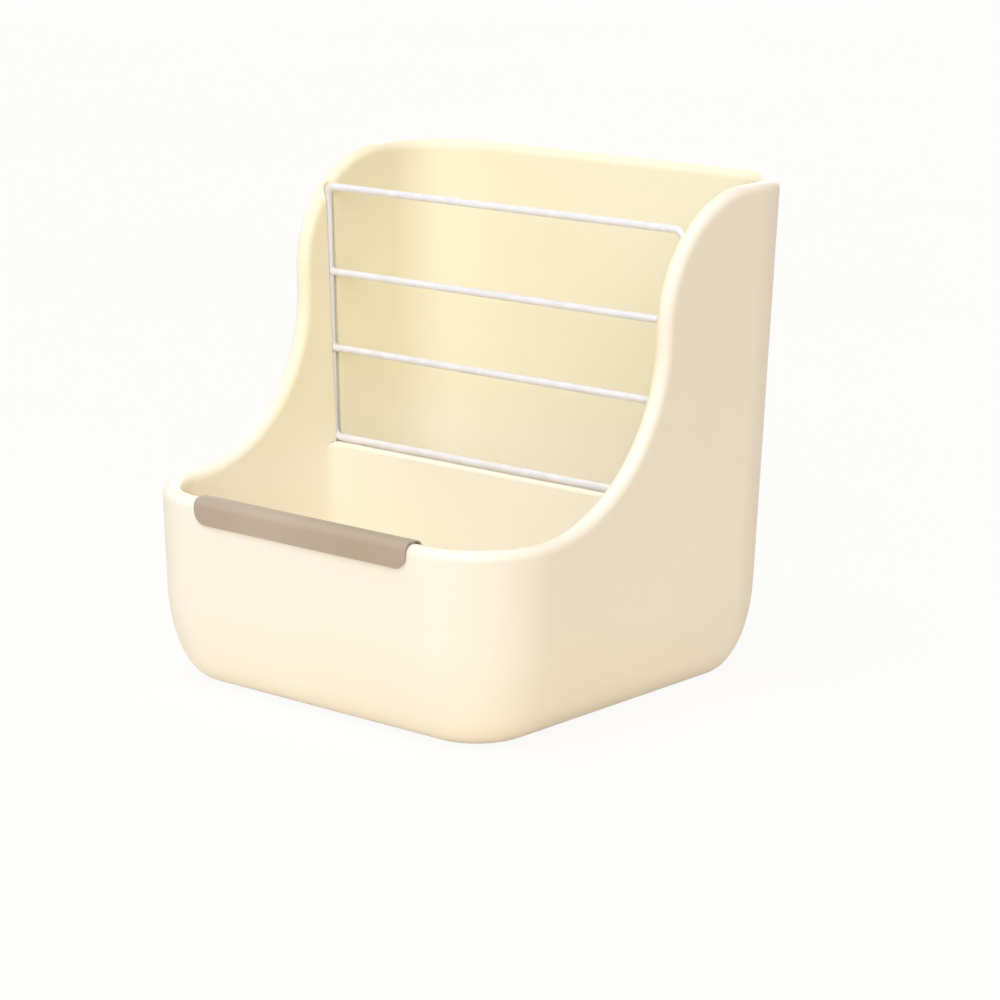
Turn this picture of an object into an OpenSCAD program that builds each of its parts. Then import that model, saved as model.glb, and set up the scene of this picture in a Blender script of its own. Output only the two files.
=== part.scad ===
// Hay feeder box: a moulded feed bowl with a hay compartment behind a wire rack.
// The front faces -Y, +X is to the right and the base stands on Z = 0.

/* [Box] */
// Width across the side walls, at the rear rim
box_w = 200; // [170:1:240]
// Depth from the front rim to the rear rim
box_d = 188; // [175:1:220]
// Height of the rear wall
box_h = 198; // [185:0.5:230]
// Thickness of the walls; the rim is a full round on it
wall_t = 7.6; // [6:0.2:9]
// Thickness of the floor
floor_t = 6; // [4:0.5:8]
// Corner radius of the plan at the front
front_corner_r = 36; // [28:1:42]
// Corner radius of the plan at the rear
rear_corner_r = 35; // [28:1:42]
// How far the rounded foot is set in from the walls
foot_in = 17; // [12:1:22]
// How far up the walls its curve begins
foot_up = 38; // [20:1:40]
// How far the rounded floor edge is set in, inside
floor_in = 10; // [8:1:18]
// How far above the floor its curve begins
floor_up = 32; // [12:1:34]
// Lean of the side walls from the vertical, in degrees
side_draft = 2; // [0.5:0.1:3]
// Lean of the rear wall, in degrees
rear_draft = 1.9; // [0.5:0.1:3]
// Lean of the front wall, in degrees
front_draft = 0.5; // [0.5:0.1:2]

/* [Side wings] */
// Height of the front rim
front_h = 77.3; // [65:0.1:85]
// Where the upright edge of a wing stands, from the middle of the box
wing_y = 4.5; // [0:0.5:8]
// Radius of the hollow curve from the front rim up to the wing
hollow_r = 67; // [50:1:72]
// Radius of the round shoulder at the top of the wing
shoulder_r = 49; // [35:1:52]

/* [Partition] */
// Thickness of the partition between the bowl and the hay
partition_t = 4.6; // [4:0.2:6]
// Where the partition and the rack stand, from the middle of the box
partition_y = 20.2; // [14:0.1:26]
// Fillet where the partition meets the side walls
partition_side_r = 6; // [3:0.5:8]
// Fillet where the partition meets the floor
partition_foot_r = 7; // [3:0.5:9]

/* [Underside] */
// Depth of the recess that leaves a standing ring
recess_depth = 1.5; // [1:0.25:2.5]
// Width of the standing ring
ring_w = 7; // [5:0.5:10]

/* [Rack] */
// Diameter of the rack's wire
wire_d = 3; // [2.4:0.1:3.6]
// Height of the rack's top wire
rack_top_z = 183.9; // [174:0.1:186]
// Height of the upper rung
upper_rung_z = 148.6; // [140:0.1:156]
// Height of the lower rung
lower_rung_z = 116.7; // [106:0.1:126]
// Bend radius at the rack's corners, on the wire's centre line
bend_r = 4; // [3:0.5:7]
// Lean of the rack's uprights from the vertical, in degrees
rack_lean = 1.2; // [0.5:0.1:2]
// Depth of the guide grooves in the side walls, at the rack's top
groove_depth = 2.6; // [1.5:0.1:3]
// How much wider than the wire a groove is, at each side
groove_play = 0.8; // [0.5:0.1:1.2]
// Clearance between the rack and the box
rack_gap = 0.3; // [0.2:0.05:0.5]

/* [Chew guard] */
// Length of the guard along the front rim
guard_l = 111; // [80:1:118]
// Thickness of the sheet
guard_t = 0.7; // [0.5:0.1:1.2]
// Height of its front skirt below the rim's crest
guard_front = 9.2; // [8:0.1:14]
// Height of its inner skirt below the rim's crest
guard_back = 8.5; // [8:0.1:12]
// Outside radius of the folds between its top and its skirts
guard_fold_r = 3.3; // [2:0.1:3.6]
// Corner radius of its skirts
guard_corner_r = 5.5; // [3:0.5:7]
// Clearance between the sheet and the rim
guard_gap = 0.3; // [0.2:0.05:0.6]

/* [Hidden] */

cream = "#F8EED2";
coat_white = "#ECEAE4";
taupe = "#BCAA90";

rim_r = wall_t / 2;
rear_crest = box_h - rim_r;
front_crest = front_h - rim_r;
partition_crest = front_h - partition_t / 2;
wire_r = wire_d / 2;
groove_r = wire_r + groove_play;
bite = 0.05;      // how far a fillet's edge is sunk, so that it joins cleanly
past = 5;         // how far a cutter runs past what it cuts
corner_steps = 10;
curve_steps = 12;
rim_steps = 8;
fillet_steps = 6;
bend_steps = 8;
wire_fn = 20;
round_fn = 48;
weld_gap = 0.02;  // between a rung's coped end and its upright

// ---- the drafted walls, measured where they reach the rim ----
function side_x(z) = box_w / 2 - tan(side_draft) * (rear_crest - z);
function rear_y(z) = box_d / 2 - tan(rear_draft) * (rear_crest - z);
function front_y(z) = -box_d / 2 + tan(front_draft) * (front_crest - z);

// ---- where the rack's uprights stand, in their grooves ----
rack_bottom_z = front_h + rack_gap + wire_r;
rack_top_x = side_x(rack_top_z) - wall_t + groove_depth - rack_gap - wire_r;
function rack_side_x(z) = rack_top_x - tan(rack_lean) * (rack_top_z - z);

// ---- the wing's edge: centre of the rim's round and its outward direction ----
hollow_c = [wing_y - hollow_r, front_h + hollow_r];
shoulder_c = [wing_y + shoulder_r, box_h - shoulder_r];
function hollow_at(a) = [hollow_c[0] + (hollow_r + rim_r) * sin(a),
                         hollow_c[1] - (hollow_r + rim_r) * cos(a),
                         -sin(a), cos(a)];
function shoulder_at(a) = [shoulder_c[0] - (shoulder_r - rim_r) * cos(a),
                           shoulder_c[1] + (shoulder_r - rim_r) * sin(a),
                           -cos(a), sin(a)];
function hollow_angle(y) = asin(max(0, y - hollow_c[0]) / (hollow_r + rim_r));
hollow_start = hollow_angle(side_start(front_crest));
wing_edge = concat(
    hollow_start > 0 ? [] : [hollow_at(0)],
    [for (i = [1:curve_steps]) hollow_at(hollow_start + (90 - hollow_start) * i / curve_steps)],
    [for (i = [0:curve_steps]) shoulder_at(90 * i / curve_steps)]);

// ---- stations round the right half, from the front's middle to the rear's ----
// Each is [stretch, place at the foot, place at the rim, rim centre's height,
// and the rim's outward direction as [along Y, along Z]].
front_straight = 0;
front_corner = 1;
side = 2;
rear_corner = 3;
rear_straight = 4;
function side_start(z) = front_y(z) + front_corner_r;
function side_end(z) = rear_y(z) - rear_corner_r;
function along_side(y, z) = (y - side_start(z)) / (side_end(z) - side_start(z));
function front_edge(t) = hollow_at(hollow_angle(
    side_start(front_crest) - (front_corner_r - rim_r) * cos(90 * t)));
half_stations = concat(
    [for (i = [0:corner_steps]) let (t = i / corner_steps, e = front_edge(t))
        [front_corner, t, t, e[1], [e[2], e[3]]]],
    [for (i = [0:len(wing_edge) - 1])
        let (e = wing_edge[i])
        [side, (i + 1) / (len(wing_edge) + 1), along_side(e[0], e[1]), e[1], [e[2], e[3]]]],
    [for (i = [0:corner_steps])
        [rear_corner, i / corner_steps, i / corner_steps, rear_crest, [0, 1]]]);

// The outline's point on the right half at height z, set in from the outer face
function outline(stretch, t, z, inset) =
    stretch == front_straight ? [t * (side_x(z) - front_corner_r), front_y(z) + inset] :
    stretch == front_corner ? [side_x(z) - front_corner_r + (front_corner_r - inset) * sin(90 * t),
                               front_y(z) + front_corner_r - (front_corner_r - inset) * cos(90 * t)] :
    stretch == side ? [side_x(z) - inset, side_start(z) + t * (side_end(z) - side_start(z))] :
    stretch == rear_corner ? [side_x(z) - rear_corner_r + (rear_corner_r - inset) * cos(90 * t),
                              rear_y(z) - rear_corner_r + (rear_corner_r - inset) * sin(90 * t)] :
    [(1 - t) * (side_x(z) - rear_corner_r), rear_y(z) - inset];

function foot_point(s, z, inset) =
    let (p = outline(s[0], s[1], z, inset)) [p[0], p[1], z];

// A point on the rim's round, turned a degrees from its outer side
function rim_point(s, a) =
    let (p = outline(s[0], s[2], s[3], rim_r * (1 - cos(a))))
    [p[0], p[1] + rim_r * sin(a) * s[4][0], s[3] + rim_r * sin(a) * s[4][1]];

// The whole way round: the right half, the rear's middle and the left half
front_middle = [front_straight, 0, 0, front_crest, [0, 1]];
rear_middle = [rear_straight, 1, 1, rear_crest, [0, 1]];
function mirrored(points) = [for (i = [len(points) - 1:-1:0]) [-points[i][0], points[i][1], points[i][2]]];
function all_round(first, half, last) = concat([first], half, [last], mirrored(half));

function foot_ring(z, inset) = all_round(
    foot_point(front_middle, z, inset),
    [for (s = half_stations) foot_point(s, z, inset)],
    foot_point(rear_middle, z, inset));
function rim_ring(a) = all_round(
    rim_point(front_middle, a),
    [for (s = half_stations) rim_point(s, a)],
    rim_point(rear_middle, a));

function fillet_angle(i) = 90 * i / fillet_steps;
outer_rings = [for (i = [0:fillet_steps]) let (a = fillet_angle(i))
    foot_ring(foot_up * (1 - cos(a)), foot_in * (1 - sin(a)))];
rim_rings = [for (i = [0:rim_steps]) rim_ring(180 * i / rim_steps)];
inner_rings = [for (i = [fillet_steps:-1:0]) let (a = fillet_angle(i))
    foot_ring(floor_t + floor_up * (1 - cos(a)), wall_t + floor_in * (1 - sin(a)))];

// Skins a stack of rings, each listed the same way round, and closes both ends
// on a point in the middle
module loft(rings) {
    n = len(rings[0]);
    last = len(rings) - 1;
    foot_middle = len(rings) * n;
    top_middle = foot_middle + 1;
    function middle(ring) = [0, (ring[0][1] + ring[n / 2][1]) / 2, ring[0][2]];
    polyhedron(
        points = concat([for (ring = rings) each ring], [middle(rings[0]), middle(rings[last])]),
        faces = [for (k = [0:n - 1]) let (next = (k + 1) % n)
            each concat(
                [[foot_middle, k, next]],
                [for (j = [0:last - 1]) each [
                    [j * n + k, (j + 1) * n + k, (j + 1) * n + next],
                    [j * n + k, (j + 1) * n + next, j * n + next]]],
                [[top_middle, last * n + next, last * n + k]])],
        convexity = 10);
}

// The shell: up the outside, over the rim and down the inside in one skin
module shell() {
    loft(concat(outer_rings, rim_rings, inner_rings));
}

// The box's cross-section in to the middle of its walls, which the partition fills
module partition_face() {
    mid = floor_t / 2;
    function edge(way, i) = let (a = fillet_angle(i), z = mid + (foot_up - mid) * (1 - cos(a)))
        [way * (side_x(z) - rim_r - (foot_in - rim_r) * (1 - sin(a))), z];
    polygon(concat(
        [for (i = [0:fillet_steps]) edge(1, i)],
        [[side_x(front_h) - rim_r, front_h + past], [rim_r - side_x(front_h), front_h + past]],
        [for (i = [fillet_steps:-1:0]) edge(-1, i)]));
}

// The partition's section with a rounded top, made thicker by extra on each face
module partition_section(extra) {
    half = partition_t / 2 + extra;
    translate([-half, -partition_crest])
        square([2 * half, partition_crest]);
    scale([half, partition_t / 2])
        circle(r = 1, $fn = round_fn);
}

// A thin upright slice of the partition near the right wall, which it leans with.
// It grows thicker towards the wall, and the last one is inside the wall
module flare_slice(i) {
    a = fillet_angle(min(i, fillet_steps));
    away = i > fillet_steps ? -rim_r / 2 : partition_side_r * (1 - sin(a)) - 2 * bite;
    translate([side_x(partition_crest) - wall_t - away, partition_y, partition_crest])
        rotate([0, side_draft, 0])
            rotate([90, 0, 90])
                linear_extrude(height = bite)
                    partition_section(partition_side_r * (1 - cos(a)));
}

module partition() {
    fillet_c = partition_t / 2 + partition_foot_r;
    reach = partition_t / 2 + max(partition_side_r, partition_foot_r);
    intersection() {
        translate([0, partition_y + reach, 0])
            rotate([90, 0, 0])
                linear_extrude(height = 2 * reach)
                    partition_face();
        union() {
            // the plate between the side walls
            hull()
                for (way = [0, 1])
                    mirror([way, 0, 0])
                        flare_slice(0);
            // hollow fillets along the floor
            for (way = [0, 1])
                translate([-box_w / 2, partition_y, floor_t - bite])
                    mirror([0, way, 0])
                        rotate([90, 0, 90])
                            linear_extrude(height = box_w)
                                difference() {
                                    translate([0, -floor_t / 2])
                                        square([fillet_c - bite, partition_foot_r + floor_t / 2 - bite]);
                                    translate([fillet_c, partition_foot_r])
                                        circle(r = partition_foot_r + bite, $fn = round_fn);
                                }
            // flares into the side walls
            for (way = [0, 1], i = [0:fillet_steps])
                mirror([way, 0, 0])
                    hull() {
                        flare_slice(i);
                        flare_slice(i + 1);
                    }
        }
    }
}

// A guide groove up each side wall for the rack, open at the rim
module rack_grooves() {
    for (way = [0, 1])
        mirror([way, 0, 0])
            translate([rack_side_x(front_h) + wire_r + rack_gap - groove_r, partition_y, front_h])
                rotate([0, rack_lean, 0])
                    cylinder(r = groove_r, h = box_h - front_h + past, $fn = round_fn);
}

// The recess under the floor, as an outline set in from the standing ring
module foot_recess() {
    inset = foot_in + ring_w;
    corner = front_corner_r - inset;
    x = side_x(0) - inset - corner;
    y_front = front_y(0) + inset + corner;
    y_rear = rear_y(0) - inset - corner;
    translate([0, 0, -past])
        linear_extrude(height = past + recess_depth)
            union() {
                for (way = [-1, 1], y = [y_front, y_rear])
                    translate([way * x, y])
                        circle(r = corner, $fn = round_fn);
                translate([-x - corner, y_front])
                    square([2 * (x + corner), y_rear - y_front]);
                translate([-x, y_front - corner])
                    square([2 * x, y_rear - y_front + 2 * corner]);
            }
}

module feeder_box() {
    color(cream)
        difference() {
            union() {
                shell();
                partition();
            }
            rack_grooves();
            foot_recess();
        }
}

// ---- the rack ----
// One loop of wire: each corner's bend centre, and the angles it turns between
bend_centres = [
    [rack_side_x(rack_bottom_z + bend_r) - bend_r / cos(rack_lean), rack_bottom_z + bend_r],
    [rack_side_x(rack_top_z - bend_r) - bend_r / cos(rack_lean), rack_top_z - bend_r]];
right_bends = [[bend_centres[0], -90, -rack_lean], [bend_centres[1], -rack_lean, 90]];
rack_path = concat(
    [for (b = right_bends, i = [0:bend_steps]) [b[0], b[1] + (b[2] - b[1]) * i / bend_steps]],
    [for (j = [1, 0], i = [bend_steps:-1:0]) let (b = right_bends[j])
        [[-b[0][0], b[0][1]], 180 - b[1] - (b[2] - b[1]) * i / bend_steps]]);

// The wire's section where the path turns through angle a about a bend centre
function wire_ring(centre, a) = [for (k = [0:wire_fn - 1])
    let (turn = 360 * k / wire_fn, out = bend_r + wire_r * cos(turn))
    [centre[0] + out * cos(a), partition_y + wire_r * sin(turn), centre[1] + out * sin(a)]];

module rack_frame() {
    rings = [for (step = rack_path) each wire_ring(step[0], step[1])];
    n = len(rings);
    color(coat_white)
        polyhedron(
            points = rings,
            faces = [for (j = [0:wire_fn:n - 1], k = [0:wire_fn - 1])
                let (next = (k + 1) % wire_fn, ahead = (j + wire_fn) % n)
                each [[j + k, ahead + next, ahead + k], [j + k, j + next, ahead + next]]],
            convexity = 4);
}

// The right upright as a cutter, a hair thicker than the wire
module upright_cutter() {
    translate([rack_side_x(rack_bottom_z), partition_y, rack_bottom_z])
        rotate([0, rack_lean, 0])
            cylinder(r = wire_r + weld_gap, h = rack_top_z - rack_bottom_z, $fn = round_fn);
}

// A rung, coped at its ends to the uprights that it is welded to
module rung(z) {
    color(coat_white)
        difference() {
            translate([-rack_side_x(z), partition_y, z])
                rotate([0, 90, 0])
                    cylinder(r = wire_r, h = 2 * rack_side_x(z), $fn = round_fn);
            for (way = [0, 1])
                mirror([way, 0, 0])
                    upright_cutter();
        }
}

module upper_rung() {
    rung(upper_rung_z);
}

module lower_rung() {
    rung(lower_rung_z);
}

// ---- the chew guard ----
guard_in_r = rim_r + guard_gap;
guard_out_r = guard_in_r + guard_t;
guard_y = front_y(front_crest) + rim_r;
guard_drop = rim_r - guard_front - guard_back;

// The sheet's section, filled: two upright skirts, folded to a top across the rim
module arch(half_w, fold_r) {
    fold = half_w - fold_r;
    union() {
        for (way = [-1, 1])
            translate([way * fold, fold])
                circle(r = fold_r, $fn = round_fn);
        translate([-fold, fold])
            square([2 * fold, fold_r]);
        translate([-half_w, guard_drop])
            square([2 * half_w, fold - guard_drop]);
    }
}

module guard_section() {
    difference() {
        arch(guard_out_r, guard_fold_r);
        arch(guard_in_r, guard_fold_r - guard_t);
    }
}

// The skirt's face: round lower corners, open to above the crest
module skirt_face(drop) {
    bottom = front_h - drop;
    x = guard_l / 2 - guard_corner_r;
    union() {
        for (way = [-1, 1])
            translate([way * x, bottom + guard_corner_r])
                circle(r = guard_corner_r, $fn = round_fn);
        translate([-x, bottom])
            square([2 * x, guard_corner_r]);
        translate([-guard_l / 2, bottom + guard_corner_r])
            square([guard_l, drop + past]);
    }
}

module skirt_block(drop, y_from, y_to) {
    translate([0, y_to, 0])
        rotate([90, 0, 0])
            linear_extrude(height = y_to - y_from)
                skirt_face(drop);
}

module chew_guard() {
    color(taupe)
        intersection() {
            translate([-guard_l / 2, guard_y, front_crest])
                rotate([90, 0, 90])
                    linear_extrude(height = guard_l)
                        guard_section();
            union() {
                skirt_block(guard_front, guard_y - guard_out_r - past, guard_y);
                skirt_block(guard_back, guard_y, guard_y + guard_out_r + past);
            }
        }
}

feeder_box();
rack_frame();
upper_rung();
lower_rung();
chew_guard();
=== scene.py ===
import bpy
import math
from mathutils import Matrix, Vector


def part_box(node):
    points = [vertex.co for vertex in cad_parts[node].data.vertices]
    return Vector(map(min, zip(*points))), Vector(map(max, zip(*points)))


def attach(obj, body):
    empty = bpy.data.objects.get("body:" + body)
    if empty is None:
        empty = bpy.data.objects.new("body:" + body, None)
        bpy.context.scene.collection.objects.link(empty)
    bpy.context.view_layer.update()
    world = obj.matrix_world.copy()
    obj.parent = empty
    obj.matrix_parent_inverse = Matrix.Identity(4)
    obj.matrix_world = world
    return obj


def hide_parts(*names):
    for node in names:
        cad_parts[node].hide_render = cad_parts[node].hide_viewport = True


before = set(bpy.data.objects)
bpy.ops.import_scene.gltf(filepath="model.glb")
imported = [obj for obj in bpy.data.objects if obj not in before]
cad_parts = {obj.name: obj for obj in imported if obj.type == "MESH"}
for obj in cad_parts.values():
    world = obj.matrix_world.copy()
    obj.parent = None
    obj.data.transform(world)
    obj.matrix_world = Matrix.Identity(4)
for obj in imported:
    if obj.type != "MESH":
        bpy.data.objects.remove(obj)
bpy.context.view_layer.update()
mm = 0.001
slack = 0.1 * mm  # how close a place must be when points and faces are picked by it
print("hay feeder: frame loaded")


# small helpers, used by every piece
def clearSelection():
    if bpy.context.object and bpy.context.object.mode != "OBJECT":
        bpy.ops.object.mode_set(mode="OBJECT")
    bpy.ops.object.select_all(action="DESELECT")


def focus(piece):
    clearSelection()
    piece.select_set(True)
    bpy.context.view_layer.objects.active = piece


def named(name):
    # names the new primitive and puts its place into its mesh
    piece = bpy.context.object
    piece.name = name
    piece.data.name = name
    focus(piece)
    bpy.ops.object.transform_apply(location=True, rotation=True, scale=True)
    return piece


def pick(piece, kind, test):
    # selects vertices, edges or faces by their place and stays in edit mode
    focus(piece)
    bpy.ops.object.mode_set(mode="EDIT")
    bpy.ops.mesh.select_mode(type=kind)
    bpy.ops.mesh.select_all(action="DESELECT")
    bpy.ops.object.mode_set(mode="OBJECT")
    mesh = piece.data
    if kind == "FACE":
        for face in mesh.polygons:
            face.select = test(face)
    elif kind == "EDGE":
        for edge in mesh.edges:
            edge.select = test(*[mesh.vertices[i].co for i in edge.vertices])
    else:
        for vert in mesh.vertices:
            vert.select = test(vert.co)
    bpy.ops.object.mode_set(mode="EDIT")


def modify(piece, kind, **settings):
    focus(piece)
    modifier = piece.modifiers.new(kind.lower(), kind)
    for key, value in settings.items():
        setattr(modifier, key, value)
    bpy.ops.object.modifier_apply(modifier=modifier.name)


def combine(piece, other, how):
    # faces of many corners are split first, so that every cut face stays a simple one
    for part in (piece, other):
        modify(part, "TRIANGULATE", min_vertices=5)
    modify(piece, "BOOLEAN", object=other, operation=how, solver="MANIFOLD")
    modify(piece, "TRIANGULATE", min_vertices=5)
    bpy.data.objects.remove(other)


def finishSmooth(piece, angle):
    focus(piece)
    bpy.ops.object.shade_smooth_by_angle(angle=math.radians(angle))
    modify(piece, "WEIGHTED_NORMAL", weight=90, keep_sharp=True)


def startPoint(name, x, y, z):
    # a mesh of one selected vertex, which extrude and spin then draw with
    clearSelection()
    bpy.ops.mesh.primitive_plane_add(size=mm, location=(x, y, z))
    piece = named(name)
    bpy.ops.object.mode_set(mode="EDIT")
    bpy.ops.mesh.select_mode(type="VERT")
    bpy.ops.mesh.select_all(action="SELECT")
    bpy.ops.mesh.merge(type="CENTER")
    return piece


def drawTo(x, y, z):
    bpy.ops.mesh.extrude_region_move(TRANSFORM_OT_translate={"value": (x, y, z)})


def drawArc(center, degrees, steps, axis=(1, 0, 0)):
    bpy.ops.mesh.spin(steps=steps, angle=math.radians(degrees), center=center, axis=axis)


def fillAndPull(x, y, z):
    bpy.ops.mesh.select_all(action="SELECT")
    bpy.ops.mesh.edge_face_add()
    bpy.ops.mesh.extrude_region_move(TRANSFORM_OT_translate={"value": (x, y, z)})
    bpy.ops.mesh.select_all(action="SELECT")
    bpy.ops.mesh.normals_make_consistent(inside=False)
    bpy.ops.object.mode_set(mode="OBJECT")


# the moulded box, which stands for the CAD node feeder_box
boxLow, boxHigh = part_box("feeder_box")
box = {
    "rearDepth": boxHigh[1], "frontDepth": boxLow[1], "height": boxHigh[2],
    "halfWidth": boxHigh[0] - 0.04 * mm,  # the rim's round swells by the rest
    "wall": 7.6 * mm, "floor": 6 * mm,
    "sideLean": math.radians(2), "rearLean": math.radians(1.9), "frontLean": math.radians(0.5),
    "frontCorner": 36 * mm, "rearCorner": 35 * mm, "cornerSteps": 20,
    "footIn": 17 * mm, "footUp": 38 * mm, "footSteps": 12,
    "frontHeight": 77.3 * mm, "wingY": 4.5 * mm, "hollow": 67 * mm, "shoulder": 49 * mm, "wingSteps": 40,
    "rimSteps": 8, "rimFlat": 0.06 * mm, "ring": 7 * mm, "ringEdge": 0.3 * mm, "recess": 1.5 * mm,
    "mergeGap": 0.02 * mm, "flatWithin": math.radians(0.4), "smoothBelow": 38,
}
beyond = 130 * mm  # past the box on any side, for what cuts it
rimRound = box["wall"] / 2
rearCrest = box["height"] - rimRound
frontCrest = box["frontHeight"] - rimRound


def sideX(z):
    return box["halfWidth"] - math.tan(box["sideLean"]) * (rearCrest - z)


def rearY(z):
    return box["rearDepth"] - math.tan(box["rearLean"]) * (rearCrest - z)


def frontY(z):
    return box["frontDepth"] + math.tan(box["frontLean"]) * (frontCrest - z)


def makeBody(name):
    # the closed outer form: a leaning block with round corners and a rounded foot
    clearSelection()
    middle = (box["footUp"] + box["height"]) / 2
    bpy.ops.mesh.primitive_cube_add(size=1, location=(0, 0, middle))
    bpy.context.object.scale = (2 * box["halfWidth"], 2 * box["rearDepth"], box["height"] - box["footUp"])
    body = named(name)
    for z in (box["footUp"], box["height"]):
        for way in (-1, 1):
            pick(body, "VERT", lambda co: abs(co.z - z) < mm and co.x * way > 0)
            bpy.ops.transform.translate(value=(way * (sideX(z) - box["halfWidth"]), 0, 0))
        pick(body, "VERT", lambda co: abs(co.z - z) < mm and co.y > 0)
        bpy.ops.transform.translate(value=(0, rearY(z) - box["rearDepth"], 0))
        pick(body, "VERT", lambda co: abs(co.z - z) < mm and co.y < 0)
        bpy.ops.transform.translate(value=(0, frontY(z) - box["frontDepth"], 0))
    for radius, way in ((box["frontCorner"], -1), (box["rearCorner"], 1)):
        pick(body, "EDGE", lambda a, b: abs(a.z - b.z) > box["footUp"] and a.y * way > 0)
        bpy.ops.mesh.bevel(offset=radius, segments=box["cornerSteps"], profile=0.5, affect="EDGES")
    # the foot curves in as a quarter of an ellipse, one inset for each step
    pick(body, "FACE", lambda face: face.normal.z < -0.9)
    lastIn, lastUp = 0, box["footUp"]
    for step in range(1, box["footSteps"] + 1):
        turn = math.pi / 2 * (1 - step / box["footSteps"])
        up = box["footUp"] * (1 - math.cos(turn))
        inward = box["footIn"] * (1 - math.sin(turn)) + math.tan(box["sideLean"]) * (box["footUp"] - up)
        bpy.ops.mesh.inset(thickness=inward - lastIn, depth=lastUp - up, use_even_offset=True)
        lastIn, lastUp = inward, up
    clearSelection()
    # the front leans less than the sides, so its foot comes forward a little
    lessLean = math.tan(box["sideLean"]) - math.tan(box["frontLean"])
    for vert in body.data.vertices:
        if vert.co.z < box["footUp"] and vert.co.y < 0:
            vert.co.y -= lessLean * (box["footUp"] - vert.co.z)
    return body


def makeWingCutter():
    # all that lies above the front rim and before the S-shaped wing edges
    x = -beyond
    lowY, lowZ = box["wingY"] - box["hollow"], box["frontHeight"]
    highY, highZ = box["wingY"] + box["shoulder"], box["height"]
    cutter = startPoint("wingCutter", x, -beyond, lowZ)
    drawTo(0, lowY + beyond, 0)
    drawArc((x, lowY, lowZ + box["hollow"]), -90, box["wingSteps"])
    drawTo(0, 0, highZ - box["shoulder"] - lowZ - box["hollow"])
    drawArc((x, highY, highZ - box["shoulder"]), 90, box["wingSteps"])
    drawTo(0, 0, box["hollow"] / 2)
    drawTo(0, -beyond - highY, 0)
    fillAndPull(-2 * x, 0, 0)
    return cutter


def makeShell():
    body = makeBody("boxMoulding")
    cutter = makeWingCutter()
    # two passing materials tell the cut's faces from the body's own
    for piece, name in ((body, "keptFaces"), (cutter, "cutFaces")):
        piece.data.materials.append(bpy.data.materials.new(name))
    modify(body, "BOOLEAN", object=cutter, operation="DIFFERENCE", solver="EXACT", material_mode="TRANSFER")
    bpy.data.objects.remove(cutter)
    cutSlot = body.data.materials.find("cutFaces")
    pick(body, "FACE", lambda face: face.material_index == cutSlot or face.normal.z > 0.9)
    bpy.ops.mesh.delete(type="FACE")
    bpy.ops.mesh.select_all(action="SELECT")
    bpy.ops.mesh.remove_doubles(threshold=box["mergeGap"])
    bpy.ops.mesh.dissolve_limited(angle_limit=box["flatWithin"])
    clearSelection()
    body.data.materials.clear()
    for name in ("keptFaces", "cutFaces"):
        bpy.data.materials.remove(bpy.data.materials[name])
    skinFaces = len(body.data.polygons)
    skinVerts = len(body.data.vertices)
    modify(body, "SOLIDIFY", thickness=box["wall"], offset=-1, use_even_offset=True, use_rim=True)
    # the floor is thinner than the walls, and the rim is level across
    bend = box["footUp"]
    thinner = (bend - box["floor"]) / (bend - box["wall"])
    for vert in list(body.data.vertices)[skinVerts:]:
        if vert.co.z < bend:
            vert.co.z = bend - (bend - vert.co.z) * thinner
        vert.co.z = min(vert.co.z, box["height"])
    # both edges of the rim are rounded until they meet
    uses = {}
    for face in list(body.data.polygons)[2 * skinFaces:]:
        for key in face.edge_keys:
            uses[key] = uses.get(key, 0) + 1
    focus(body)
    bpy.ops.object.mode_set(mode="EDIT")
    bpy.ops.mesh.select_mode(type="EDGE")
    bpy.ops.mesh.select_all(action="DESELECT")
    bpy.ops.object.mode_set(mode="OBJECT")
    for edge in body.data.edges:
        edge.select = uses.get(edge.key) == 1
    bpy.ops.object.mode_set(mode="EDIT")
    bpy.ops.mesh.bevel(offset=rimRound - box["rimFlat"], segments=box["rimSteps"], profile=0.5,
                       affect="EDGES")
    # the standing ring is left by a shallow recess
    pick(body, "FACE", lambda face: face.normal.z < -0.9 and face.center.z < slack)
    bpy.ops.mesh.inset(thickness=box["ring"], use_even_offset=True)
    bpy.ops.mesh.inset(thickness=box["ringEdge"], depth=-box["recess"], use_even_offset=True)
    clearSelection()
    return body


partition = {
    "y": 20.2 * mm, "thick": 4.6 * mm, "height": box["frontHeight"],
    "sideFillet": 6 * mm, "footFillet": 7 * mm, "filletSteps": 10, "rimSteps": 6, "rimFlat": 0.25 * mm,
    "overlap": 2 * mm, "footLap": 0.05 * mm, "footHalf": 95 * mm,
    "trimPlan": 0.965, "trimTall": 0.99, "trimLift": 2.6 * mm,
}


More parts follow.
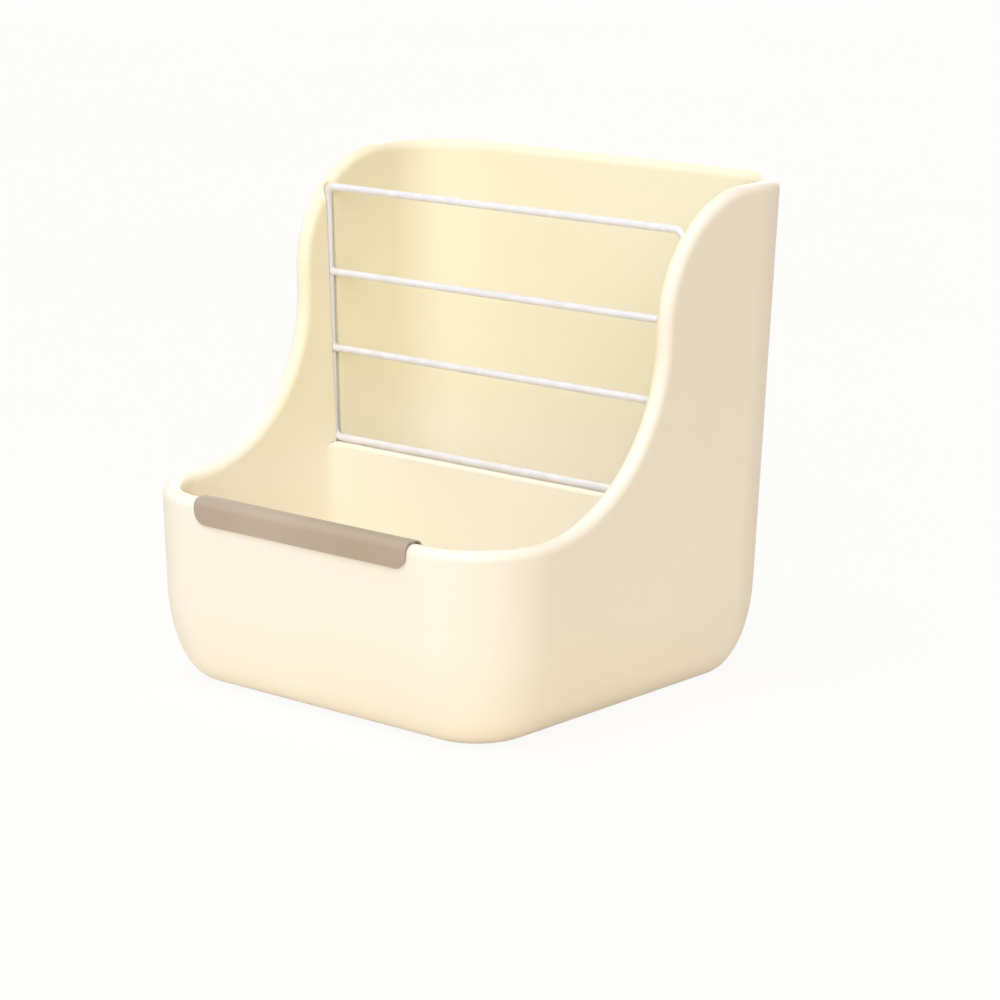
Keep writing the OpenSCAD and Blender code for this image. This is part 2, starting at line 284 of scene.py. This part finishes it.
def makePartition():
    # its plan, drawn from the middle of one face round the flares at both walls
    half, fillet = partition["thick"] / 2, partition["sideFillet"]
    low, top = box["floor"] / 2, partition["height"]
    wallX = sideX(top) - box["wall"]
    past, y = partition["overlap"], partition["y"]
    steps = partition["filletSteps"]
    wall = startPoint("partition", 0, y - half, low)
    drawTo(wallX - fillet, 0, 0)
    drawArc((wallX - fillet, y - half - fillet, low), 90, steps, (0, 0, 1))
    drawTo(past, 0, 0)
    drawTo(0, 2 * (half + fillet), 0)
    drawTo(-past, 0, 0)
    drawArc((wallX - fillet, y + half + fillet, low), 90, steps, (0, 0, 1))
    drawTo(-2 * (wallX - fillet), 0, 0)
    drawArc((fillet - wallX, y + half + fillet, low), 90, steps, (0, 0, 1))
    drawTo(-past, 0, 0)
    drawTo(0, -2 * (half + fillet), 0)
    drawTo(past, 0, 0)
    drawArc((fillet - wallX, y - half - fillet, low), 90, steps, (0, 0, 1))
    bpy.ops.mesh.select_all(action="SELECT")
    bpy.ops.mesh.remove_doubles(threshold=slack / 10)
    fillAndPull(0, 0, top - low)
    for way in (-1, 1):  # its foot follows the lean of the side walls
        pick(wall, "VERT", lambda co: co.z < low + mm and co.x * way > fillet)
        bpy.ops.transform.translate(value=(-way * math.tan(box["sideLean"]) * (top - low), 0, 0))
    pick(wall, "EDGE", lambda a, b: min(a.z, b.z) > top - mm)
    bpy.ops.mesh.bevel(offset=half - partition["rimFlat"], segments=partition["rimSteps"], profile=0.5,
                       affect="EDGES")
    clearSelection()
    return wall


def makeFootFillet():
    # hollow fillets where the partition meets the floor, as one wedge under it
    half, fillet = partition["thick"] / 2, partition["footFillet"]
    x, y, low = -partition["footHalf"], partition["y"], box["floor"]
    wedge = startPoint("footFillet", x, y - half + partition["footLap"], low + fillet)
    drawArc((x, y - half - fillet, low + fillet), 90, partition["filletSteps"])
    drawTo(0, 0, -partition["overlap"])
    drawTo(0, 2 * (half + fillet), 0)
    drawTo(0, 0, partition["overlap"])
    drawArc((x, y + half + fillet, low + fillet), 90, partition["filletSteps"])
    fillAndPull(-2 * x, 0, 0)
    return wedge


# the rack's sizes stand here because its guide grooves follow them
rackLow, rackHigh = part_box("rack_frame")
rack = {
    "wire": 1.5 * mm, "bend": 4 * mm, "bendSteps": 10, "roundSteps": 8, "lean": math.radians(1.2),
    "y": partition["y"], "foot": rackLow[2], "top": rackHigh[2], "halfWidth": rackHigh[0],
    "weld": 0.45 * mm, "weldLength": 1.1 * mm, "weldSteps": (0.45, 0.3, 0.25),
    "tip": 0.8, "tipShare": 0.75, "rungSides": 32, "smoothBelow": 50,
}


def uprightX(z):
    # the right upright's middle at height z
    bendZ = rack["top"] - rack["wire"] - rack["bend"]
    return rack["halfWidth"] - rack["wire"] - math.tan(rack["lean"]) * (bendZ - z)


groove = {"radius": 2.3 * mm, "footX": 90.11 * mm, "sides": 48}


def makeGroove(way):
    # it leans as the upright does, and opens at the wing's rim so that the rack lifts out
    clearSelection()
    bpy.ops.mesh.primitive_cylinder_add(vertices=groove["sides"], radius=groove["radius"], depth=beyond,
                                        location=(0, 0, beyond / 2))
    cutter = named("grooveCutter")
    foot = partition["height"]
    cutter.data.transform(Matrix.Translation((way * groove["footX"], partition["y"], foot))
                          @ Matrix.Rotation(way * rack["lean"], 4, "Y"))
    return cutter


boxMoulding = makeShell()
print("hay feeder: shell and rim modelled")
# a slightly smaller body trims the partition, so that its ends stop inside the walls
trim = makeBody("partitionTrim")
shrink = partition["trimPlan"]
trim.data.transform(Matrix.Diagonal((shrink, shrink, partition["trimTall"], 1)))
trim.data.transform(Matrix.Translation((0, 0, partition["trimLift"])))
partitionWall = makePartition()
combine(partitionWall, makeFootFillet(), "UNION")
combine(partitionWall, trim, "INTERSECT")
combine(boxMoulding, partitionWall, "UNION")
for side in (-1, 1):
    combine(boxMoulding, makeGroove(side), "DIFFERENCE")
finishSmooth(boxMoulding, box["smoothBelow"])
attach(boxMoulding, "box")
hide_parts("feeder_box")
print("hay feeder: partition and rack grooves joined,", len(boxMoulding.data.polygons), "faces")


# the wire rack: one bent loop and two rungs welded between its uprights
def makeRackLoop():
    clearSelection()
    foot, top = rack["foot"] + rack["wire"], rack["top"] - rack["wire"]
    bpy.ops.mesh.primitive_plane_add(size=1, location=(0, rack["y"], (foot + top) / 2),
                                     rotation=(math.pi / 2, 0, 0))
    bpy.context.object.scale = (2 * uprightX(top), top - foot, 1)
    loop = named("rackLoop")
    for way in (-1, 1):
        pick(loop, "VERT", lambda co: co.z < foot + mm and co.x * way > 0)
        bpy.ops.transform.translate(value=(way * (uprightX(foot) - uprightX(top)), 0, 0))
    bpy.ops.mesh.select_all(action="SELECT")
    bpy.ops.mesh.bevel(offset=rack["bend"], segments=rack["bendSteps"], profile=0.5, affect="VERTICES")
    bpy.ops.mesh.select_all(action="SELECT")
    bpy.ops.mesh.delete(type="ONLY_FACE")
    bpy.ops.object.mode_set(mode="OBJECT")
    bpy.ops.object.convert(target="CURVE")
    loop = bpy.context.object
    loop.data.bevel_depth = rack["wire"]
    loop.data.bevel_resolution = rack["roundSteps"]
    bpy.ops.object.convert(target="MESH")
    loop = bpy.context.object
    loop.name = "rackLoop"
    return loop


def makeRung(name, node):
    # a straight wire that flares a little where it is welded to the uprights
    low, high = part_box(node)
    z = (low[2] + high[2]) / 2
    end = uprightX(z)
    clearSelection()
    straight = end - rack["wire"] - rack["weldLength"]
    bpy.ops.mesh.primitive_cylinder_add(vertices=rack["rungSides"], radius=rack["wire"], depth=2 * straight,
                                        location=(0, rack["y"], z), rotation=(0, math.pi / 2, 0))
    rung = named(name)
    wider = 1 + rack["weld"] / rack["wire"]
    for way in (-1, 1):
        pick(rung, "FACE", lambda face: face.normal.x * way > 0.9)
        for share in rack["weldSteps"]:
            drawTo(way * rack["weldLength"] * share, 0, 0)
            grow = wider ** share
            bpy.ops.transform.resize(value=(1, grow, grow), center_override=(0, rack["y"], z))
        drawTo(way * rack["wire"] * rack["tip"], 0, 0)
        tip = rack["tipShare"]
        bpy.ops.transform.resize(value=(1, tip, tip), center_override=(0, rack["y"], z))
        clearSelection()
    return rung


rackLoop = makeRackLoop()
upperRung = makeRung("upperRung", "upper_rung")
lowerRung = makeRung("lowerRung", "lower_rung")
for wire, node in ((rackLoop, "rack_frame"), (upperRung, "upper_rung"), (lowerRung, "lower_rung")):
    finishSmooth(wire, rack["smoothBelow"])
    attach(wire, "rack")
    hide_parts(node)
print("hay feeder: rack wires bent and welded")


# the chew guard: a sheet folded over the front rim
guardLow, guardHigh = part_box("chew_guard")
guard = {
    "length": guardHigh[0] - guardLow[0], "front": guardLow[1], "rear": guardHigh[1], "top": guardHigh[2],
    "frontFoot": guardLow[2], "backFoot": box["frontHeight"] - 8.5 * mm, "sheet": 0.7 * mm,
    "fold": 3.3 * mm, "foldSteps": 10, "corner": 5.5 * mm, "cornerSteps": 10,
    "edge": 0.16 * mm, "edgeSteps": 3, "edgeAbove": math.radians(50), "smoothBelow": 40,
}


def makeGuard():
    x = -guard["length"] / 2
    front, rear = guard["front"], guard["rear"]
    foldZ = guard["top"] - guard["fold"]
    sheet = startPoint("rimGuard", x, front, guard["frontFoot"])
    drawTo(0, 0, foldZ - guard["frontFoot"])
    drawArc((x, front + guard["fold"], foldZ), 90, guard["foldSteps"])
    drawTo(0, rear - front - 2 * guard["fold"], 0)
    drawArc((x, rear - guard["fold"], foldZ), 90, guard["foldSteps"])
    drawTo(0, 0, guard["backFoot"] - foldZ)
    bpy.ops.mesh.select_all(action="SELECT")
    drawTo(-2 * x, 0, 0)
    # the four lower corners are round
    pick(sheet, "VERT", lambda co: co.z < guard["backFoot"] + slack)
    bpy.ops.mesh.bevel(offset=guard["corner"], segments=guard["cornerSteps"], profile=0.5,
                       affect="VERTICES")
    bpy.ops.object.mode_set(mode="OBJECT")
    upward = [face for face in sheet.data.polygons if face.center.z > guard["top"] - slack]
    if upward[0].normal.z < 0:
        focus(sheet)
        bpy.ops.object.mode_set(mode="EDIT")
        bpy.ops.mesh.select_all(action="SELECT")
        bpy.ops.mesh.flip_normals()
        bpy.ops.object.mode_set(mode="OBJECT")
    modify(sheet, "SOLIDIFY", thickness=guard["sheet"], offset=-1, use_even_offset=True)
    modify(sheet, "BEVEL", width=guard["edge"], segments=guard["edgeSteps"], limit_method="ANGLE",
           angle_limit=guard["edgeAbove"])
    return sheet


rimGuard = makeGuard()
finishSmooth(rimGuard, guard["smoothBelow"])
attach(rimGuard, "guard")
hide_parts("chew_guard")
print("hay feeder: chew guard folded")


# materials: two shared effects as node groups, then one material for each finish
effects = {"speckleFrom": 0.38, "speckleFull": 0.62, "toneFrom": 0.32, "toneFull": 0.68}


def newGroup(name, inputs, outputs):
    group = bpy.data.node_groups.new(name, "ShaderNodeTree")
    for label, kind, value in inputs:
        group.interface.new_socket(label, in_out="INPUT", socket_type=kind).default_value = value
    for label, kind in outputs:
        group.interface.new_socket(label, in_out="OUTPUT", socket_type=kind)
    return group, group.nodes.new("NodeGroupInput"), group.nodes.new("NodeGroupOutput")


def addNode(tree, kind, **settings):
    node = tree.nodes.new(kind)
    for key, value in settings.items():
        setattr(node, key, value)
    return node


def addMath(tree, operation, first, second):
    node = addNode(tree, "ShaderNodeMath", operation=operation)
    for place, source in enumerate((first, second)):
        if isinstance(source, (int, float)):
            node.inputs[place].default_value = source
        else:
            tree.links.new(source, node.inputs[place])
    return node.outputs[0]


def addRange(tree, source, start, end, toStart=0, toEnd=1, smooth=True):
    # spreads the values between start and end over those between toStart and toEnd
    spread = addNode(tree, "ShaderNodeMapRange", interpolation_type="SMOOTHSTEP" if smooth else "LINEAR")
    for label, value in (("From Min", start), ("From Max", end), ("To Min", toStart), ("To Max", toEnd)):
        spread.inputs[label].default_value = value
    tree.links.new(source, spread.inputs["Value"])
    return spread.outputs["Result"]


def addNoise(tree, vector, scale, detail):
    noise = addNode(tree, "ShaderNodeTexNoise")
    noise.inputs["Detail"].default_value = detail
    tree.links.new(vector, noise.inputs["Vector"])
    if isinstance(scale, (int, float)):
        noise.inputs["Scale"].default_value = scale
    else:
        tree.links.new(scale, noise.inputs["Scale"])
    return noise.outputs["Fac"]


def makeGrainGroup():
    # the fine texture that a mould, or a baked coat, leaves on a surface
    group, given, made = newGroup(
        "surfaceGrain",
        (("Place", "NodeSocketVector", (0, 0, 0)), ("Grain Scale", "NodeSocketFloat", 900.0),
         ("Peel Scale", "NodeSocketFloat", 260.0), ("Peel Share", "NodeSocketFloat", 0.5)),
        (("Height", "NodeSocketFloat"), ("Speckle", "NodeSocketFloat")))
    grain = addNoise(group, given.outputs["Place"], given.outputs["Grain Scale"], 3)
    peel = addNoise(group, given.outputs["Place"], given.outputs["Peel Scale"], 1)
    height = addNode(group, "ShaderNodeMix", data_type="FLOAT")
    group.links.new(given.outputs["Peel Share"], height.inputs["Factor"])
    group.links.new(grain, height.inputs["A"])
    group.links.new(peel, height.inputs["B"])
    group.links.new(height.outputs["Result"], made.inputs["Height"])
    speckle = addRange(group, grain, effects["speckleFrom"], effects["speckleFull"], smooth=False)
    group.links.new(speckle, made.inputs["Speckle"])
    return group


def makeToneGroup():
    # slow drifts of tone and gloss, with faint cloudy patches in them
    group, given, made = newGroup(
        "toneDrift",
        (("Place", "NodeSocketVector", (0, 0, 0)), ("Drift Scale", "NodeSocketFloat", 9.0),
         ("Cloud Scale", "NodeSocketFloat", 55.0)),
        (("Drift", "NodeSocketFloat"), ("Cloud", "NodeSocketFloat")))
    for label, source in (("Drift", "Drift Scale"), ("Cloud", "Cloud Scale")):
        noise = addNoise(group, given.outputs["Place"], given.outputs[source], 2)
        spread = addRange(group, noise, effects["toneFrom"], effects["toneFull"])
        group.links.new(spread, made.inputs[label])
    return group


grainGroup = makeGrainGroup()
toneGroup = makeToneGroup()


def sRgb(red, green, blue):
    # a colour as seen on screen, 0 to 255, in the scene's linear light
    def linear(value):
        share = value / 255
        return share / 12.92 if share <= 0.04045 else ((share + 0.055) / 1.055) ** 2.4
    return (linear(red), linear(green), linear(blue), 1)


def mixColor(tree, factor, first, second):
    node = addNode(tree, "ShaderNodeMix", data_type="RGBA")
    tree.links.new(factor, node.inputs["Factor"])
    for label, source in (("A", first), ("B", second)):
        sockets = [socket for socket in node.inputs if socket.name == label and socket.type == "RGBA"]
        if isinstance(source, tuple):
            sockets[0].default_value = source
        else:
            tree.links.new(source, sockets[0])
    return [socket for socket in node.outputs if socket.type == "RGBA"][0]


def startMaterial(name, finish):
    # the nodes that all three finishes share
    material = bpy.data.materials.new(name)
    material.use_nodes = True
    tree = material.node_tree
    shader = tree.nodes["Principled BSDF"]
    place = addNode(tree, "ShaderNodeTexCoord").outputs["Object"]
    grain = addNode(tree, "ShaderNodeGroup", node_tree=grainGroup)
    tone = addNode(tree, "ShaderNodeGroup", node_tree=toneGroup)
    tree.links.new(place, grain.inputs["Place"])
    tree.links.new(place, tone.inputs["Place"])
    grain.inputs["Grain Scale"].default_value = finish["grainScale"]
    grain.inputs["Peel Scale"].default_value = finish["peelScale"]
    grain.inputs["Peel Share"].default_value = finish["peelShare"]
    tone.inputs["Drift Scale"].default_value = finish["driftScale"]
    tone.inputs["Cloud Scale"].default_value = finish["cloudScale"]
    bump = addNode(tree, "ShaderNodeBump")
    bump.inputs["Strength"].default_value = finish["bump"]
    bump.inputs["Distance"].default_value = finish["bumpDepth"]
    tree.links.new(grain.outputs["Height"], bump.inputs["Height"])
    tree.links.new(bump.outputs["Normal"], shader.inputs["Normal"])
    # gloss drifts slowly and is a little broken up by the grain
    roughness = addMath(tree, "MULTIPLY", tone.outputs["Cloud"], finish["roughDrift"])
    speckle = addMath(tree, "MULTIPLY", grain.outputs["Speckle"], finish["roughSpeckle"])
    roughness = addMath(tree, "ADD", addMath(tree, "ADD", roughness, speckle), finish["roughness"])
    tree.links.new(roughness, shader.inputs["Roughness"])
    shader.inputs["IOR"].default_value = finish["ior"]
    shader.inputs["Specular IOR Level"].default_value = finish["specular"]
    shared = {"tree": tree, "shader": shader, "place": place, "speckle": grain.outputs["Speckle"],
              "drift": tone.outputs["Drift"], "cloud": tone.outputs["Cloud"]}
    return material, shared


def fleckColor(shared, color, finish):
    # the grain's speckle shows a little of the fleck's colour
    fleck = addMath(shared["tree"], "MULTIPLY", shared["speckle"], finish["fleckShare"])
    return mixColor(shared["tree"], fleck, color, finish["fleck"])


creamFinish = {
    "color": sRgb(253, 247, 237), "deep": sRgb(252, 245, 233), "fleck": sRgb(249, 241, 227),
    "fleckShare": 0.12,
    # inside is painted warm bounce light on the faces inside the box, most of all above the bowl
    "inside": sRgb(253, 245, 207), "paintedBounceShare": 0.62, "outward": 0.25, "inward": -0.35,
    "paintedBounceBowlShare": 0.35, "bowlTop": 70 * mm, "hayFoot": 110 * mm,
    # foot is painted warm shade and floor bounce light on the faces lowest down, near the floor
    "foot": sRgb(243, 222, 178), "paintedFootShadeHeight": 12 * mm, "paintedFootShadeShare": 0.2,
    "grainScale": 1500.0, "peelScale": 330.0, "peelShare": 0.6, "driftScale": 7.0, "cloudScale": 38.0,
    "bump": 0.25, "bumpDepth": 0.05 * mm, "roughness": 0.37, "roughDrift": 0.06, "roughSpeckle": 0.05,
    "ior": 1.49, "specular": 0.42,
}
wireFinish = {
    "color": sRgb(240, 240, 246), "deep": sRgb(233, 232, 238),
    "grainScale": 2600.0, "peelScale": 900.0, "peelShare": 0.7, "driftScale": 22.0, "cloudScale": 150.0,
    "bump": 0.2, "bumpDepth": 0.03 * mm, "roughness": 0.3, "roughDrift": 0.08, "roughSpeckle": 0.05,
    "ior": 1.5, "specular": 0.5,
}
sheetFinish = {
    "color": sRgb(190, 175, 159), "deep": sRgb(181, 165, 148), "fleck": sRgb(167, 152, 136),
    "fleckShare": 0.3,
    "grainScale": 2400.0, "peelScale": 700.0, "peelShare": 0.45, "driftScale": 14.0, "cloudScale": 90.0,
    "bump": 0.4, "bumpDepth": 0.04 * mm, "roughness": 0.5, "roughDrift": 0.06, "roughSpeckle": 0.08,
    "ior": 1.48, "specular": 0.4,
}


def makeCreamPlastic(finish):
    material, shared = startMaterial("creamPlastic", finish)
    tree, place = shared["tree"], shared["place"]
    color = mixColor(tree, shared["drift"], finish["color"], finish["deep"])
    color = fleckColor(shared, color, finish)
    # faces that look inward, seen from the middle of the box, get a painted warm bounce light: a yellower
    # cream
    level = addNode(tree, "ShaderNodeVectorMath", operation="MULTIPLY")
    level.inputs[1].default_value = (1, 1, 0)
    tree.links.new(place, level.inputs[0])
    outward = addNode(tree, "ShaderNodeVectorMath", operation="NORMALIZE")
    tree.links.new(level.outputs["Vector"], outward.inputs[0])
    facing = addNode(tree, "ShaderNodeVectorMath", operation="DOT_PRODUCT")
    tree.links.new(outward.outputs["Vector"], facing.inputs[0])
    tree.links.new(addNode(tree, "ShaderNodeNewGeometry").outputs["Normal"], facing.inputs[1])
    inward = addRange(tree, facing.outputs["Value"], finish["outward"], finish["inward"], 0,
                      finish["paintedBounceShare"])
    # the painted bounce light is strongest above the bowl
    split = addNode(tree, "ShaderNodeSeparateXYZ")
    tree.links.new(place, split.inputs[0])
    above = addRange(tree, split.outputs["Z"], finish["bowlTop"], finish["hayFoot"], finish["paintedBounceBowlShare"])
    color = mixColor(tree, addMath(tree, "MULTIPLY", inward, above), color, finish["inside"])
    # painted warm shade and floor bounce light, stronger down by its foot
    low = addRange(tree, split.outputs["Z"], finish["paintedFootShadeHeight"], 0, 0, finish["paintedFootShadeShare"])
    color = mixColor(tree, low, color, finish["foot"])
    tree.links.new(color, shared["shader"].inputs["Base Color"])
    return material


def makeCoatedWire(finish):
    material, shared = startMaterial("coatedWire", finish)
    color = mixColor(shared["tree"], shared["cloud"], finish["color"], finish["deep"])
    shared["tree"].links.new(color, shared["shader"].inputs["Base Color"])
    return material


def makeCoatedSheet(finish):
    material, shared = startMaterial("coatedSheet", finish)
    color = mixColor(shared["tree"], shared["drift"], finish["color"], finish["deep"])
    color = fleckColor(shared, color, finish)
    shared["tree"].links.new(color, shared["shader"].inputs["Base Color"])
    return material


def setMaterial(piece, material):
    piece.data.materials.clear()
    piece.data.materials.append(material)


setMaterial(boxMoulding, makeCreamPlastic(creamFinish))
coatedWire = makeCoatedWire(wireFinish)
for wire in (rackLoop, upperRung, lowerRung):
    setMaterial(wire, coatedWire)
setMaterial(rimGuard, makeCoatedSheet(sheetFinish))
print("hay feeder: materials set")


# the studio: a pale floor, white all round, three broad soft suns and a soft lamp before the bowl
studio = {
    "floorSize": 14.0, "floorDrop": 0.05 * mm, "floorColor": sRgb(248, 243, 232),
    "floorDeep": sRgb(240, 229, 206), "floorDrift": 3.0, "floorRoughness": 0.9, "floorSpecular": 0.1,
    "floorShadow": 0.08,
    "ambient": 0.32, "ambientColor": (1.0, 0.985, 1.0, 1), "sideColor": (0.95, 0.66, 0.34, 1),
    "sideFrom": (0.88, 0.45, 0.15), "sideEdge": -0.1, "sideFull": 0.6,
    "keyStrength": 0.99, "keyAngle": math.radians(40),
    "keyFrom": (0.6, -0.72, 0.4), "keyColor": (0.96, 0.985, 0.97),
    "skyStrength": 1.5, "skyAngle": math.radians(40),
    "skyFrom": (0.0, -0.25, 0.97), "skyColor": (0.96, 0.985, 1.0),
    "backStrength": 0.9, "backAngle": math.radians(30),
    "backFrom": (-0.5, 0.86, 0.1), "backColor": (1.0, 0.98, 0.95),
    "frontPower": 0.64, "frontSize": 0.45, "frontAim": (0, 0, 0.08),
    "frontFrom": (0.05, -0.5, 0.5), "frontColor": (0.98, 0.99, 1.0),
}


def seenStraight(tree):
    # 1 for what the camera sees straight, through glass or in a reflection, and 0 for light
    paths = addNode(tree, "ShaderNodeLightPath")
    seen = addMath(tree, "MAXIMUM", paths.outputs["Is Camera Ray"], paths.outputs["Is Transmission Ray"])
    return addMath(tree, "MAXIMUM", seen, paths.outputs["Is Glossy Ray"])


def makeWorld():
    world = bpy.data.worlds.new("whiteStudio")
    world.use_nodes = True
    tree = world.node_tree
    tree.nodes.clear()
    # the studio is pale all round, and warmer behind the object's right
    facing = addNode(tree, "ShaderNodeVectorMath", operation="DOT_PRODUCT")
    facing.inputs[1].default_value = studio["sideFrom"]
    tree.links.new(addNode(tree, "ShaderNodeTexCoord").outputs["Generated"], facing.inputs[0])
    side = addRange(tree, facing.outputs["Value"], studio["sideEdge"], studio["sideFull"])
    ambient = addNode(tree, "ShaderNodeBackground")
    around = mixColor(tree, side, studio["ambientColor"], studio["sideColor"])
    tree.links.new(around, ambient.inputs["Color"])
    ambient.inputs["Strength"].default_value = studio["ambient"]
    white = addNode(tree, "ShaderNodeBackground")
    white.inputs["Color"].default_value = (1, 1, 1, 1)
    choose = addNode(tree, "ShaderNodeMixShader")
    tree.links.new(seenStraight(tree), choose.inputs[0])
    tree.links.new(ambient.outputs[0], choose.inputs[1])
    tree.links.new(white.outputs[0], choose.inputs[2])
    out = addNode(tree, "ShaderNodeOutputWorld")
    tree.links.new(choose.outputs[0], out.inputs["Surface"])
    bpy.context.scene.world = world


def makeFloor():
    clearSelection()
    bpy.ops.mesh.primitive_plane_add(size=studio["floorSize"], location=(0, 0, -studio["floorDrop"]))
    floor = named("studioFloor")
    material = bpy.data.materials.new("paleFloor")
    material.use_nodes = True
    tree = material.node_tree
    shader = tree.nodes["Principled BSDF"]
    shader.inputs["Roughness"].default_value = studio["floorRoughness"]
    shader.inputs["Specular IOR Level"].default_value = studio["floorSpecular"]
    place = addNode(tree, "ShaderNodeTexCoord").outputs["Object"]
    drift = addNoise(tree, place, studio["floorDrift"], 3)
    tint = mixColor(tree, drift, studio["floorColor"], studio["floorDeep"])
    tree.links.new(tint, shader.inputs["Base Color"])
    # seen straight or in a reflection the floor is white, but keeps the object's shadow
    whiteShare = addMath(tree, "MULTIPLY", seenStraight(tree), 1 - studio["floorShadow"])
    white = addNode(tree, "ShaderNodeEmission")
    choose = addNode(tree, "ShaderNodeMixShader")
    tree.links.new(whiteShare, choose.inputs[0])
    tree.links.new(shader.outputs[0], choose.inputs[1])
    tree.links.new(white.outputs[0], choose.inputs[2])
    tree.links.new(choose.outputs[0], tree.nodes["Material Output"].inputs["Surface"])
    setMaterial(floor, material)


def addLamp(name, kind, fromPoint, aim, **settings):
    lamp = bpy.data.lights.new(name, kind)
    for key, value in settings.items():
        setattr(lamp, key, value)
    holder = bpy.data.objects.new(name, lamp)
    bpy.context.scene.collection.objects.link(holder)
    turn = (Vector(fromPoint) - Vector(aim)).to_track_quat("Z", "Y")
    holder.matrix_world = Matrix.Translation(fromPoint) @ turn.to_matrix().to_4x4()


makeWorld()
makeFloor()
for sun in ("key", "sky", "back"):
    addLamp(sun + "Soft", "SUN", studio[sun + "From"], (0, 0, 0), energy=studio[sun + "Strength"],
            angle=studio[sun + "Angle"], color=studio[sun + "Color"])
addLamp("frontSoft", "AREA", studio["frontFrom"], studio["frontAim"], energy=studio["frontPower"],
        size=studio["frontSize"], color=studio["frontColor"])
print("hay feeder: studio lit")


# the camera stands where the photograph was taken from
camera = {
    "place": (0.8531, -0.9550, 0.3716),
    "azimuth": math.radians(41.156), "elevation": math.radians(13.409),
    "lens": 119.33, "sensor": 36, "shiftX": 0.00069, "shiftY": 0.00684,
}


def makeCamera():
    data = bpy.data.cameras.new("photoCamera")
    holder = bpy.data.objects.new("photoCamera", data)
    bpy.context.scene.collection.objects.link(holder)
    turn, rise = camera["azimuth"], camera["elevation"]
    back = Vector((math.sin(turn) * math.cos(rise), -math.cos(turn) * math.cos(rise), math.sin(rise)))
    right = Vector((math.cos(turn), math.sin(turn), 0))
    axes = Matrix((right, back.cross(right), back)).transposed().to_4x4()
    holder.matrix_world = Matrix.Translation(camera["place"]) @ axes
    data.lens, data.sensor_width = camera["lens"], camera["sensor"]
    data.shift_x, data.shift_y = camera["shiftX"], camera["shiftY"]
    bpy.context.scene.camera = holder


makeCamera()
bpy.context.scene.view_settings.view_transform = "Standard"

print("hay feeder: finished")
